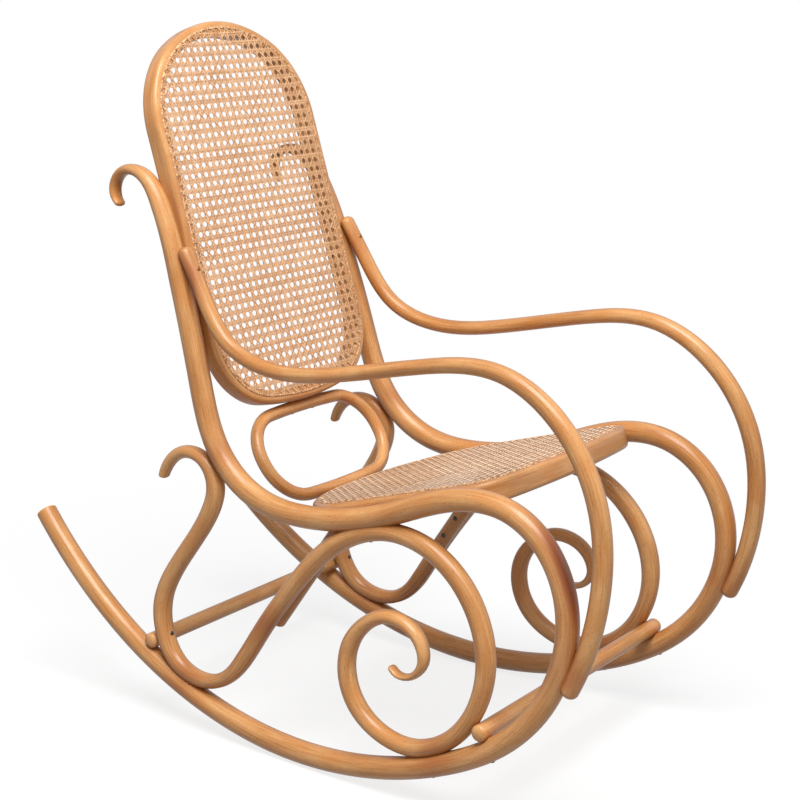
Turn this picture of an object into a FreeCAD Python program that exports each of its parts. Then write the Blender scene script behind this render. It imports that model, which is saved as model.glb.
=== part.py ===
import FreeCAD, Part
import math
import os

# Bentwood rocking chair with a cane seat and back, in millimetres.
# X runs across the chair, Y towards its back, Z up. The sitter faces -Y, so the sitter's left is +X.
# Side frames are drawn in a leaning plane, as seen from the side, by (y, z, thickness) points.
# The whole chair is drawn in the pose where it balances on its rockers, and is moved at the end so
# that the origin is under the middle of its box, on the floor.

# Side frames: the plane of the rod centrelines
HALF_WIDTH = 239.0
SPLAY = 0.0209
LEAN = 0.0516

# Full thickness of each rod, and how much of the thinning at its ends its width takes part in
MAIN_ROD = 35.0
SCROLL_ROD = 30.0
ARM_ROD = 27.0
WIDTH_SHARE = 0.45

# Ends of the rods: how far from the tip the rounding starts, and how much of the thickness it takes
THIN_END = (5.0, 0.8)
ROUND_END = (10.0, 0.9)
SAWN_END = (3.5, 0.2)

# Round bars
STRETCHER = 24.5
BRACE = 24.5
FRONT_STRETCHER_AT = (-327.0, 134.0)
FRONT_STRETCHER_HALF = 256.0
REAR_STRETCHER_AT = (297.0, 120.0)
REAR_STRETCHER_HALF = 241.0
BAR_DOME = 6.5
DOME_FULLNESS = 0.72
DOME_FLAT = 0.15
BRACE_LOW = (64.0, 193.0)
BRACE_HIGH = (-70.5, 386.0)
BRACE_INSET = 20.0

# Back hoop, drawn in its own raked plane: x across, s up the slope from the hoop's zero point
BACK_RAKE = 17.1
BACK_ZERO = (199.3, 606.6)
BACK_HALF = 184.0
BACK_TOP = 478.0
BACK_BOTTOM = -127.0
BACK_CROWN = 215.0
BACK_SHOULDER = 150.0
BACK_CORNER = 110.0
BACK_BASE = 500.0
BACK_DEPTH = 31.0
BACK_WALL = 21.0

# Seat ring, drawn in its own plane: x across, s towards the back
SEAT_SLOPE = 16.5
SEAT_ZERO = (-100.0, 413.0)
SEAT_HALF = 204.5
SEAT_REAR = 199.0
SEAT_FRONT = -234.0
SEAT_CROWN = 240.0
SEAT_SHOULDER = 110.0
SEAT_CORNER = 62.0
SEAT_BASE = 900.0
SEAT_DEPTH = 33.0
SEAT_WALL = 24.0

# Cane panels and the strips that hold them
GROOVE_INSET = 10.0
GROOVE_WIDTH = 4.0
GROOVE_DEPTH = 6.0
CANE_THICKNESS = 1.6
CANE_LIP = 1.2
SPLINE_PROUD = 1.4
EDGE_ROUND = 7.0
INNER_ROUND = 3.0

# Oval ring under the back
RING_TILT = 35.0
RING_ZERO = (150.0, 430.0)
RING_HALF = 142.5
RING_TOP = 50.0
RING_BOTTOM = -91.0
RING_END = 66.0
RING_ROD = 20.0
RING_BOW = 1500.0

# Round headed screws
SCREW_HEAD = 8.6
SCREW_DOME = 2.4
SCREW_SHANK = 4.2
SCREW_SLOT = 1.1
SHORT_SCREW = 28.0
LONG_SCREW = 44.0

# How closely the rods are drawn along their length
LONGEST_STEP = 42.0
SHORTEST_STEP = 8.0
TURN_STEP = math.radians(15)

# One long rod a side: hook, back post, seat rail, front loop and rocker
MAIN_POINTS = [
    (371, 793, 9), (384, 812, 13), (380, 832, 14.5), (364, 846, 15.5), (343, 848, 17.5), (318, 838, 22),
    (290, 802, 28), (248, 693, 33), (208, 554, 34), (165, 443, 35), (97, 389, 35), (-8, 375, 34),
    (-150, 405, 34), (-278, 450, 33), (-354, 447, 32), (-412, 410, 32), (-447, 343, 32),
    (-443, 246, 32), (-380, 143, 32), (-258, 66, 33), (-119, 25, 34), (39, 17, 34.5), (182, 43, 34),
    (318, 99, 34), (440, 180, 33.5), (546, 283, 33),
]

# Armrest, from the post over the arm to the front loop
ARM_POINTS = [
    (241, 741, 23), (203, 677, 23), (151, 609, 23), (77, 581, 22.5), (-61, 591, 22), (-206, 622, 21.5),
    (-330, 629, 24), (-417, 584, 26.5), (-485, 483, 27.5), (-496, 349, 27), (-455, 216, 26),
]

# Scroll: hook behind the post, S down to the rocker, arch under the rail, spiral in front
SCROLL_POINTS = [
    (280, 384, 13), (270, 406, 17), (251, 425, 19), (224, 433, 20), (198, 427, 22), (181, 412, 25),
    (172, 389, 28.5), (180, 353, 28.5), (209, 305, 27), (247, 253, 27.5), (280, 181, 30), (272, 128, 29),
    (248, 95, 28), (211, 79, 26), (163, 84, 22), (137, 100, 23.5), (111, 130, 27), (73, 188, 27),
    (30, 248, 27.5), (-66, 348, 29), (-154, 381, 27), (-234, 367, 28.5), (-297, 314, 30), (-326, 235, 29),
    (-312, 159, 26.5), (-268, 103, 25.5), (-206, 77, 26), (-147, 86, 26.5), (-107, 115, 27.5),
    (-88, 157, 27.5), (-93, 204, 26), (-120, 240, 22), (-154, 258, 21), (-187, 256, 20),
    (-210, 242, 19), (-221, 223, 17), (-222, 205, 15), (-213, 189, 12), (-198, 179, 10),
    (-180, 178, 9), (-166, 189, 8),
]


def vector(x, y, z):
    return FreeCAD.Vector(x, y, z)


def side_point(y, z, inset=0.0):
    """A point in the left side frame's leaning plane, or inset from it towards the middle."""
    return vector(HALF_WIDTH - SPLAY * y - LEAN * z - inset, y, z)


def side_normal():
    """The direction square to the left side frame, away from the chair."""
    return vector(1, SPLAY, LEAN).normalize()


def mirrored(shape):
    """The same piece on the sitter's right."""
    return shape.mirror(vector(0, 0, 0), vector(1, 0, 0))


def one_solid(shape):
    """The single solid that a cut leaves."""
    solids = sorted(shape.Solids, key=lambda solid: solid.Volume)
    return solids[-1]


def centreline(points):
    """A smooth curve through the points of a rod, and the distance along it of each point."""
    places = [side_point(y, z) for y, z, _ in points]
    distances = [0.0]
    for before, after in zip(places, places[1:]):
        distances.append(distances[-1] + before.distanceToPoint(after))
    curve = Part.BSplineCurve()
    curve.interpolate(Points=places, Parameters=distances)
    return curve, distances


def thickness_at(distance, distances, points):
    """The rod's thickness between its points, changing evenly."""
    for k in range(1, len(distances)):
        if distance <= distances[k]:
            span = distances[k] - distances[k - 1]
            share = (distance - distances[k - 1]) / span
            return points[k - 1][2] + share * (points[k][2] - points[k - 1][2])
    return points[-1][2]


def stations(curve, first, last):
    """Where the rod's section is drawn between two distances: closer together where it bends more."""
    found = [first]
    while found[-1] < last:
        ahead = [min(found[-1] + k * SHORTEST_STEP, last) for k in range(4)]
        bend = max(1e-6, *[curve.curvature(distance) for distance in ahead])
        found.append(found[-1] + max(SHORTEST_STEP, min(LONGEST_STEP, TURN_STEP / bend)))
    scale = (last - first) / (found[-1] - first)
    return [first + (distance - first) * scale for distance in found]


def section(curve, distance, thickness, full):
    """An ellipse in four arcs, square to the rod, its long axis across the side frame."""
    across = side_normal()
    along = curve.tangent(distance)[0]
    in_plane = across.cross(along).normalize()
    width = thickness + WIDTH_SHARE * (full - thickness)
    width = max(width, thickness * 1.0005)
    centre = curve.value(distance)
    ellipse = Part.Ellipse(centre + across * (width / 2), centre + in_plane * (thickness / 2), centre)
    quarter = math.pi / 2
    arcs = [Part.ArcOfEllipse(ellipse, k * quarter, (k + 1) * quarter).toShape() for k in range(4)]
    return Part.Wire(arcs)


def bent_rod(points, full, start_end, far_end):
    """A bent rod through the points. Each end is (depth, share): how far from its tip it starts to
    shrink, and the share of its thickness that is gone at the tip."""
    curve, distances = centreline(points)
    length = distances[-1]
    first = start_end[0]
    last = length - far_end[0]
    sections = []
    for distance in stations(curve, first, last):
        thickness = thickness_at(distance, distances, points)
        sections.append(section(curve, distance, thickness, full))
    rod = Part.makeLoft(sections, True, False)
    for base, reach, share in ((first, -first, start_end[1]), (last, far_end[0], far_end[1])):
        cap = []
        for angle in (0, 22, 42, 60, 76):
            turn = math.radians(angle)
            distance = base + reach * math.sin(turn)
            shrink = 1 - share * (1 - math.cos(turn))
            thickness = thickness_at(base, distances, points) * shrink
            cap.append(section(curve, distance, thickness, full * shrink))
        rod = rod.fuse(Part.makeLoft(cap, True, False))
    return one_solid(rod)


def placed(shape, turn_x, y, z):
    """A shape drawn flat, turned about X and moved to its zero point."""
    turned = shape.copy()
    turned.Placement = FreeCAD.Placement(
        vector(0, y, z), FreeCAD.Rotation(vector(1, 0, 0), turn_x)
    )
    return turned


def polar(centre, radius, angle):
    """A point on a circle, its angle in degrees from +X."""
    turn = math.radians(angle)
    return vector(centre[0] + radius * math.cos(turn), centre[1] + radius * math.sin(turn), 0)


def arc(centre, radius, start, end):
    """An arc about a centre between two angles in degrees."""
    points = [polar(centre, radius, angle) for angle in (start, (start + end) / 2, end)]
    return Part.Arc(*points).toShape()


def hoop_outline(half, top, bottom, crown, shoulder, corner, base, inset):
    """A closed outline of tangent arcs: crown, shoulders, straight sides, corners and base."""
    crown_at = top - crown
    base_at = bottom + base
    shoulder_x = half - shoulder
    shoulder_at = crown_at + math.sqrt((crown - shoulder) ** 2 - shoulder_x ** 2)
    corner_x = half - corner
    corner_at = base_at - math.sqrt((base - corner) ** 2 - corner_x ** 2)
    crown_angle = math.degrees(math.atan2(shoulder_at - crown_at, shoulder_x))
    base_angle = math.degrees(math.atan2(corner_at - base_at, corner_x))
    side = half - inset
    edges = [
        arc((0, crown_at), crown - inset, crown_angle, 180 - crown_angle),
        arc((-shoulder_x, shoulder_at), shoulder - inset, 180 - crown_angle, 180),
        Part.makeLine(vector(-side, shoulder_at, 0), vector(-side, corner_at, 0)),
        arc((-corner_x, corner_at), corner - inset, 180, 180 - base_angle),
        arc((0, base_at), base - inset, 180 - base_angle, 360 + base_angle),
        arc((corner_x, corner_at), corner - inset, 360 + base_angle, 360),
        Part.makeLine(vector(side, corner_at, 0), vector(side, shoulder_at, 0)),
        arc((shoulder_x, shoulder_at), shoulder - inset, 0, crown_angle),
    ]
    return Part.Wire(edges)


def back_outline(inset):
    return hoop_outline(
        BACK_HALF, BACK_TOP, BACK_BOTTOM, BACK_CROWN, BACK_SHOULDER, BACK_CORNER, BACK_BASE, inset
    )


def seat_outline(inset):
    return hoop_outline(
        SEAT_HALF, SEAT_REAR, SEAT_FRONT, SEAT_CROWN, SEAT_SHOULDER, SEAT_CORNER, SEAT_BASE, inset
    )


def ring_outline(inset):
    return hoop_outline(
        RING_HALF, RING_TOP, RING_BOTTOM, RING_BOW, RING_END, RING_END, RING_BOW, inset
    )


def plate(outline, inset, low, high):
    """A flat plate inside an outline, between two heights."""
    wire = outline(inset)
    wire.translate(vector(0, 0, low))
    return Part.Face(wire).extrude(vector(0, 0, high - low))


def band(outline, outer, inner, low, high):
    """A ring between two insets of an outline."""
    return plate(outline, outer, low, high).cut(plate(outline, inner, low - 1, high + 1))


def edges_at(shape, outline, inset, height):
    """The edges of a shape that lie on an outline at a height."""
    target = outline(inset)
    target.translate(vector(0, 0, height))
    found = []
    for edge in shape.Edges:
        middle = edge.valueAt((edge.FirstParameter + edge.LastParameter) / 2)
        if target.distToShape(Part.Vertex(middle))[0] < 0.01:
            found.append(edge)
    return found


def grooved_hoop(outline, wall, depth):
    """A bent hoop with rounded edges, and the groove for the cane in its upper face."""
    hoop = band(outline, 0, wall, -depth, 0)
    outer = edges_at(hoop, outline, 0, 0) + edges_at(hoop, outline, 0, -depth)
    hoop = hoop.makeFillet(EDGE_ROUND, outer)
    inner = edges_at(hoop, outline, wall, -depth) + edges_at(hoop, outline, wall, 0)
    hoop = hoop.makeFillet(INNER_ROUND, inner)
    groove = band(outline, GROOVE_INSET, GROOVE_INSET + GROOVE_WIDTH, -GROOVE_DEPTH, 1)
    return hoop.cut(groove)


def cane_panel(outline):
    """The woven panel as one thin sheet, with its edge turned down into the groove."""
    edge = GROOVE_INSET + GROOVE_WIDTH - CANE_LIP
    sheet = plate(outline, edge, 0, CANE_THICKNESS)
    lip = band(outline, edge, GROOVE_INSET + GROOVE_WIDTH, -GROOVE_DEPTH, 0)
    return sheet.fuse(lip).removeSplitter()


def spline_strip(outline):
    """The strip pressed into the groove beside the cane's edge."""
    edge = GROOVE_INSET + GROOVE_WIDTH - CANE_LIP
    strip = band(outline, GROOVE_INSET, edge, -GROOVE_DEPTH, SPLINE_PROUD)
    crest = edges_at(strip, outline, GROOVE_INSET, SPLINE_PROUD)
    return strip.makeFillet(SPLINE_PROUD * 0.8, crest)


def back_placed(shape):
    return placed(shape, 90 - BACK_RAKE, *BACK_ZERO)


def seat_placed(shape):
    return placed(shape, -SEAT_SLOPE, *SEAT_ZERO)


def ring_placed(shape):
    return placed(shape, 90 - RING_TILT, *RING_ZERO)


def oval_ring():
    """A round rod bent into a closed oval, in its own tilted plane."""
    path = ring_outline(0)
    side = [edge for edge in path.Edges if edge.Vertexes[0].Point.x > RING_HALF - 0.01]
    start = side[-1].Vertexes[0].Point
    profile = Part.Wire(Part.Circle(start, vector(0, 1, 0), RING_ROD / 2).toShape())
    return ring_placed(path.makePipeShell([profile], True, False))


def domed_bar(length, diameter):
    """A round bar along X with domed ends, centred on the origin."""
    radius = diameter / 2
    half = length / 2
    shoulder = half - BAR_DOME
    bow = vector(half - BAR_DOME * (1 - math.sqrt(0.5)), radius * DOME_FULLNESS, 0)
    flat = vector(half, radius * DOME_FLAT, 0)
    right = Part.Arc(vector(shoulder, radius, 0), bow, flat).toShape()
    left = right.mirror(vector(0, 0, 0), vector(1, 0, 0))
    outline = Part.Wire([
        Part.makeLine(vector(-shoulder, radius, 0), vector(shoulder, radius, 0)),
        right,
        Part.makeLine(flat, vector(half, 0, 0)),
        Part.makeLine(vector(half, 0, 0), vector(-half, 0, 0)),
        Part.makeLine(vector(-half, 0, 0), vector(-half, flat.y, 0)),
        left,
    ])
    return Part.Face(outline).revolve(vector(0, 0, 0), vector(1, 0, 0), 360)


def stretcher(place, half):
    """A round bar across the chair at a (y, z) place."""
    bar = domed_bar(2 * half, STRETCHER)
    bar.translate(vector(0, *place))
    return bar


def seat_brace():
    """The short straight rod beside the scroll, up to the underside of the seat ring."""
    low = side_point(*BRACE_LOW, BRACE_INSET)
    high = side_point(*BRACE_HIGH, BRACE_INSET)
    along = high - low
    bar = domed_bar(along.Length, BRACE)
    turn = FreeCAD.Rotation(vector(1, 0, 0), along)
    bar.Placement = FreeCAD.Placement((low + high) / 2, turn)
    return bar


def screw(length):
    """A round headed, slotted screw pointing down, the underside of its head at the origin."""
    radius = (SCREW_HEAD ** 2 / 4 + SCREW_DOME ** 2) / (2 * SCREW_DOME)
    ball = Part.makeSphere(radius, vector(0, 0, SCREW_DOME - radius))
    head = ball.common(Part.makeCylinder(SCREW_HEAD, SCREW_DOME))
    shank = Part.makeCylinder(SCREW_SHANK / 2, length, vector(0, 0, 0), vector(0, 0, -1))
    slot = Part.makeBox(SCREW_HEAD, SCREW_SLOT, SCREW_DOME)
    slot.translate(vector(-SCREW_HEAD / 2, -SCREW_SLOT / 2, SCREW_DOME - SCREW_SLOT))
    return head.cut(slot).fuse(shank)


def placed_screw(length, head_at, target):
    """A screw with its head at one point, driven towards another."""
    driven = screw(length)
    turn = FreeCAD.Rotation(vector(0, 0, -1), target - head_at)
    driven.Placement = FreeCAD.Placement(head_at, turn)
    return driven


def both_sides(shapes):
    """Pieces of the left side with their mirror images."""
    return shapes + [mirrored(shape) for shape in shapes]


def side_screw(start, toward, head_out, length):
    """A screw in the left side frame: it is driven from one (y, z) point on a rod's centreline towards
    another, and its head lies a little way back from the first, at the rod's surface."""
    centre = side_point(*start)
    target = side_point(*toward)
    along = (target - centre).normalize()
    return placed_screw(length, centre - along * head_out, target)


def armrest_screws():
    """One screw through each end of each armrest, into the post and the front loop."""
    post = side_screw((222, 708), (252, 699), head_out=11.5, length=38)
    loop = side_screw((-468, 255), (-438, 265), head_out=13.5, length=40)
    return both_sides([post, loop])


def back_frame_screws():
    """Screws from inside the back hoop into each post."""
    screws = []
    for slope in (85.0, 165.0):
        place = vector(BACK_HALF - BACK_WALL, slope, -BACK_DEPTH * 2 / 3)
        head = back_placed(Part.Vertex(place)).Point
        screws.append(placed_screw(LONG_SCREW, head, head + vector(1, 0.06, 0)))
    return both_sides(screws)


def seat_frame_screws():
    """Screws from inside the seat ring into each seat rail."""
    screws = []
    for slope in (-145.0, -40.0, 60.0):
        place = vector(SEAT_HALF - SEAT_WALL, slope, -SEAT_DEPTH / 2)
        head = seat_placed(Part.Vertex(place)).Point
        screws.append(placed_screw(LONG_SCREW, head, head + vector(1, 0, 0)))
    return both_sides(screws)


def stretcher_screws():
    """Screws into the stretchers: through the scroll behind, and up from under the rocker in front."""
    rear = side_screw((274, 132), (297, 122), head_out=14, length=LONG_SCREW)
    front = side_screw((-338, 108), FRONT_STRETCHER_AT, head_out=14.8, length=38)
    return both_sides([rear, front])


def scroll_screws():
    """Screws that hold each scroll to the main rod, at the rail, the post and the rocker."""
    rail = side_screw((-121, 375), (-116, 394), head_out=13, length=LONG_SCREW)
    rear = side_screw((222, 58), (213, 78), head_out=16, length=36)
    front = side_screw((-243, 60), (-238, 84), head_out=15.5, length=34)
    post = side_screw((181, 412), (157, 432), head_out=11.5, length=40)
    return both_sides([rail, rear, front, post])


def brace_screws():
    """Two screws through each brace into the scroll beside it."""
    screws = []
    for place in ((39, 229), (15, 263)):
        head = side_point(*place, BRACE_INSET) - side_normal() * (BRACE / 2)
        screws.append(placed_screw(LONG_SCREW, head, head + side_normal()))
    return both_sides(screws)


def oval_ring_screws():
    """Screws from the oval ring up into the back hoop, and forward and down into the seat ring."""
    screws = []
    for x in (-25.0, 25.0):
        for height, along in ((RING_TOP, vector(0, 0, 1)), (RING_BOTTOM, vector(0, -0.9, -0.44))):
            centre = ring_placed(Part.Vertex(vector(x, height, 0))).Point
            head = centre - along * (RING_ROD / 2 - 1)
            screws.append(placed_screw(SHORT_SCREW, head, centre))
    return screws


def drilled(shape, screws):
    """A piece with the holes of the screws that pass through it."""
    near = [one for one in screws if one.BoundBox.intersect(shape.BoundBox)]
    return shape.cut(near) if near else shape


def above_seat_underside():
    """The space above the underside of the seat ring."""
    size = 4 * SEAT_HALF
    block = Part.makeBox(size, size, size, vector(-size / 2, -size / 2, -SEAT_DEPTH))
    return seat_placed(block)


def screw_groups():
    return {
        "armrest_screws": armrest_screws(),
        "back_frame_screws": back_frame_screws(),
        "seat_frame_screws": seat_frame_screws(),
        "stretcher_screws": stretcher_screws(),
        "scroll_screws": scroll_screws(),
        "brace_screws": brace_screws(),
        "oval_ring_screws": oval_ring_screws(),
    }


def side_pieces(hoop):
    """The four rods of the left side, each notched where it meets the one before."""
    main = bent_rod(MAIN_POINTS, MAIN_ROD, THIN_END, SAWN_END).cut(hoop)
    arm = bent_rod(ARM_POINTS, ARM_ROD, ROUND_END, ROUND_END).cut(main)
    scroll = bent_rod(SCROLL_POINTS, SCROLL_ROD, THIN_END, THIN_END).cut(main)
    brace = seat_brace().cut([above_seat_underside(), scroll, main])
    return {
        "main_rod": main,
        "armrest": arm,
        "scroll": scroll,
        "seat_brace": brace,
    }


def build():
    """Every piece by its node name, in the drawing's frame."""
    hoop = back_placed(grooved_hoop(back_outline, BACK_WALL, BACK_DEPTH))
    seat = seat_placed(grooved_hoop(seat_outline, SEAT_WALL, SEAT_DEPTH))
    groups = screw_groups()
    screws = [one for group in groups.values() for one in group]
    pieces = {}
    for name, rod in side_pieces(hoop).items():
        rod = one_solid(drilled(rod, screws))
        pieces[name + "_left"] = rod
        pieces[name + "_right"] = mirrored(rod)
    main_rods = [pieces["main_rod_left"], pieces["main_rod_right"]]
    scrolls = [pieces["scroll_left"], pieces["scroll_right"]]
    seat = seat.cut(main_rods)
    ring = oval_ring().cut([hoop, seat])
    front = stretcher(FRONT_STRETCHER_AT, FRONT_STRETCHER_HALF).cut(main_rods + scrolls)
    rear = stretcher(REAR_STRETCHER_AT, REAR_STRETCHER_HALF).cut(main_rods + scrolls)
    pieces["back_frame"] = one_solid(drilled(hoop, screws))
    pieces["seat_frame"] = one_solid(drilled(seat, screws))
    pieces["oval_ring"] = one_solid(drilled(ring, screws))
    pieces["front_stretcher"] = one_solid(drilled(front, screws))
    pieces["rear_stretcher"] = one_solid(drilled(rear, screws))
    pieces["back_cane"] = one_solid(back_placed(cane_panel(back_outline)))
    pieces["seat_cane"] = one_solid(seat_placed(cane_panel(seat_outline)))
    pieces["back_spline"] = one_solid(back_placed(spline_strip(back_outline)))
    pieces["seat_spline"] = one_solid(seat_placed(spline_strip(seat_outline)))
    for name, group in groups.items():
        pieces[name] = Part.makeCompound(group)
    return pieces


def settled(pieces):
    """The chair moved so that its origin is on the floor, under the middle of its box."""
    box = Part.makeCompound(list(pieces.values())).optimalBoundingBox(False, False)
    shift = vector(0, -(box.YMin + box.YMax) / 2, -box.ZMin)
    print("moved by", round(shift.y, 2), round(shift.z, 2))
    for shape in pieces.values():
        shape.translate(shift)
    return pieces


def main():
    os.makedirs("parts", exist_ok=True)
    for name, shape in settled(build()).items():
        solids = len(shape.Solids)
        print(name, solids, "solid" if solids == 1 else "solids", round(shape.Volume / 1000, 1), "cm3")
        if not shape.isValid():
            raise ValueError(name + " is not a valid shape")
        shape.exportStep("parts/" + name + ".step")


main()
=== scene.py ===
import math

import bpy
import numpy as np
from bpy.props import FloatProperty, FloatVectorProperty, PointerProperty
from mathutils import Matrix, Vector


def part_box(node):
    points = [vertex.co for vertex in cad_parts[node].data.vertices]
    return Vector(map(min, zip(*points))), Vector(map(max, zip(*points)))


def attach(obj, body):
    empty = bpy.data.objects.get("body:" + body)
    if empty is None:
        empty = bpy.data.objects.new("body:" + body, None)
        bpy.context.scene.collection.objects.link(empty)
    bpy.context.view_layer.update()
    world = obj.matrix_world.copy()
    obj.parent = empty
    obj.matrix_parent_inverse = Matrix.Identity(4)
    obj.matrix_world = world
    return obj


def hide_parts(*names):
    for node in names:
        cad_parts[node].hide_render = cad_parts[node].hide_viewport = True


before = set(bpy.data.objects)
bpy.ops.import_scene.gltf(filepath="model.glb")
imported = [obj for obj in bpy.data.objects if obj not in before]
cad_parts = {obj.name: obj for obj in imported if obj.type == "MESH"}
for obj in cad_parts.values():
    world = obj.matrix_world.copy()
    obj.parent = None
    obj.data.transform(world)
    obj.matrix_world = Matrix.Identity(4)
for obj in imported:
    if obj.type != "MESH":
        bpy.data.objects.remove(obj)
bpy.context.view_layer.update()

bl_info = {
    "name": "Bentwood rocking chair",
    "version": (1, 0, 0),
    "blender": (4, 5, 0),
    "location": "3D View > Sidebar > Rocking Chair",
    "description": "Builds the wood, cane and stage of a bentwood rocking chair around its packed frame",
    "category": "Add Mesh",
}

# Sizes are in metres. X runs across the chair, Y towards its back, Z up; the sitter's left is +X
HANDS = {"left": 1, "right": -1}

# Side frames: the leaning plane of the rod centrelines
HALF_WIDTH = 0.239
SPLAY = 0.0209
LEAN = 0.0516
SIDE_NORMAL = Vector((1, SPLAY, LEAN)).normalized()

# Full thickness of each rod; where a rod is thinner, its width keeps this share of the difference
MAIN_ROD = 0.035
SCROLL_ROD = 0.030
ARM_ROD = 0.027
WIDTH_SHARE = 0.45

# Distance between the sections of a rod, its sides, and the steps and turn of its rounded ends
ROD_STEP = 0.006
ROD_SIDES = 24
END_STEPS = 8
END_TURN = math.radians(84)

# Ends of the rods: how far from the tip the rounding starts, and how much of the thickness it takes
THIN_END = (0.005, 0.8)
ROUND_END = (0.010, 0.9)
SAWN_END = (0.0035, 0.2)
DOMED_END = (0.0065, 0.85)

# Round bars; a stretcher's (y, z, half length)
STRETCHER = 0.0245
STRETCHERS = {"front_stretcher": (-0.327, 0.134, 0.256), "rear_stretcher": (0.297, 0.120, 0.241)}
BRACE = 0.0245
BRACE_LOW = (0.064, 0.193)
BRACE_HIGH = (-0.0705, 0.386)
BRACE_INSET = 0.020

# Hoops drawn flat, then turned about X by "turn" degrees and moved to "zero", a (y, z) place.
# Their outlines are crown, shoulder, corner and base arcs that meet smoothly. A hoop that holds
# cane is "wall" wide and "depth" deep; the oval ring is a round rod.
BACK_HOOP = {
    "half": 0.184, "top": 0.478, "bottom": -0.127,
    "crown": 0.215, "shoulder": 0.150, "corner": 0.110, "base": 0.500,
    "turn": 90 - 17.1, "zero": (0.1993, 0.6066), "wall": 0.021, "depth": 0.031,
}
SEAT_HOOP = {
    "half": 0.2045, "top": 0.199, "bottom": -0.234,
    "crown": 0.240, "shoulder": 0.110, "corner": 0.062, "base": 0.900,
    "turn": -16.5, "zero": (-0.100, 0.413), "wall": 0.024, "depth": 0.033,
}
OVAL_HOOP = {
    "half": 0.1425, "top": 0.050, "bottom": -0.091,
    "crown": 1.500, "shoulder": 0.066, "corner": 0.066, "base": 1.500,
    "turn": 90 - 35.0, "zero": (0.150, 0.430),
}
OVAL_ROD = 0.020
EDGE_ROUND = 0.007
INNER_ROUND = 0.003
ROUND_STEPS = 4
OUTLINE_STEP = 0.008

# Cane panels and their strips: how far in from the outline the groove and the strands start, how
# high the weave's middle lies, and how round a strip's edges are beside its width
GROOVE_INSET = 0.010
STRIP_WIDTH = 0.0036
STRIP_PROUD = 0.0014
STRIP_DEPTH = 0.004
STRIP_CROWN = 0.45
CANE_REACH = 0.012
CANE_MIDDLE = 0.0008

# Strands: the step between their points as a share of the mesh, how wide their top is beside their
# underside, how far the upright ones rise beside the slanting ones, and the seed of their shades
STRAND_STEP = 0.27
STRAND_TOP = 0.6
UPRIGHT_RISE = 0.75
TINT_SEED = 7

# One long rod a side, as (y, z, thickness) in the side frame: hook, back post, seat rail, loop, rocker
MAIN_POINTS = [
    (0.371, 0.793, 0.009), (0.384, 0.812, 0.013), (0.380, 0.832, 0.0145), (0.364, 0.846, 0.0155),
    (0.343, 0.848, 0.0175), (0.318, 0.838, 0.022), (0.290, 0.802, 0.028), (0.248, 0.693, 0.033),
    (0.208, 0.554, 0.034), (0.165, 0.443, 0.035), (0.097, 0.389, 0.035), (-0.008, 0.375, 0.034),
    (-0.150, 0.405, 0.034), (-0.278, 0.450, 0.033), (-0.354, 0.447, 0.032), (-0.412, 0.410, 0.032),
    (-0.447, 0.343, 0.032), (-0.443, 0.246, 0.032), (-0.380, 0.143, 0.032), (-0.258, 0.066, 0.033),
    (-0.119, 0.025, 0.034), (0.039, 0.017, 0.0345), (0.182, 0.043, 0.034), (0.318, 0.099, 0.034),
    (0.440, 0.180, 0.0335), (0.546, 0.283, 0.033),
]

# Armrest, from the post over the arm to the front loop
ARM_POINTS = [
    (0.241, 0.741, 0.023), (0.203, 0.677, 0.023), (0.151, 0.609, 0.023), (0.077, 0.581, 0.0225),
    (-0.061, 0.591, 0.022), (-0.206, 0.622, 0.0215), (-0.330, 0.629, 0.024), (-0.417, 0.584, 0.0265),
    (-0.485, 0.483, 0.0275), (-0.496, 0.349, 0.027), (-0.455, 0.216, 0.026),
]

# Scroll: hook behind the post, S down to the rocker, arch under the rail, spiral in front
SCROLL_POINTS = [
    (0.280, 0.384, 0.013), (0.270, 0.406, 0.017), (0.251, 0.425, 0.019), (0.224, 0.433, 0.020),
    (0.198, 0.427, 0.022), (0.181, 0.412, 0.025), (0.172, 0.389, 0.0285), (0.180, 0.353, 0.0285),
    (0.209, 0.305, 0.027), (0.247, 0.253, 0.0275), (0.280, 0.181, 0.030), (0.272, 0.128, 0.029),
    (0.248, 0.095, 0.028), (0.211, 0.079, 0.026), (0.163, 0.084, 0.022), (0.137, 0.100, 0.0235),
    (0.111, 0.130, 0.027), (0.073, 0.188, 0.027), (0.030, 0.248, 0.0275), (-0.066, 0.348, 0.029),
    (-0.154, 0.381, 0.027), (-0.234, 0.367, 0.0285), (-0.297, 0.314, 0.030), (-0.326, 0.235, 0.029),
    (-0.312, 0.159, 0.0265), (-0.268, 0.103, 0.0255), (-0.206, 0.077, 0.026), (-0.147, 0.086, 0.0265),
    (-0.107, 0.115, 0.0275), (-0.088, 0.157, 0.0275), (-0.093, 0.204, 0.026), (-0.120, 0.240, 0.022),
    (-0.154, 0.258, 0.021), (-0.187, 0.256, 0.020), (-0.210, 0.242, 0.019), (-0.221, 0.223, 0.017),
    (-0.222, 0.205, 0.015), (-0.213, 0.189, 0.012), (-0.198, 0.179, 0.010), (-0.180, 0.178, 0.009),
    (-0.166, 0.189, 0.008),
]

# Darker, redder colour at the joints of the side frames, as (y, z, reach): darkened varnish and painted
# shade where the parts meet
STAINS_AND_SHADE = [
    (0.222, 0.708, 0.030), (-0.468, 0.250, 0.040), (0.170, 0.430, 0.030), (0.225, 0.072, 0.030),
    (-0.250, 0.078, 0.030), (0.060, 0.200, 0.030),
]

# The same darkened varnish and painted shade on the back hoop, where the posts meet its sides
HOOP_STAINS_AND_SHADE = [(0.262, 0.800, 0.060)]

# Where one side of a right hand rod is painted dark, as (y, z, reach), and how far that side looks
# outwards and backwards: the front of the front loop, rubbed dark by use, and the armrest where it leaves
# the post, darkened varnish with a painted shadow of the post
LOOP_WEAR = ((-0.432, 0.372, 0.080), (0, -1))
ARM_WEAR_AND_SHADE = ((0.214, 0.695, 0.040), (0.75, 0.65))

# The screws whose heads are lacquered with the wood around them
LACQUERED = ("armrest_screws", "back_frame_screws", "oval_ring_screws")

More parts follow.
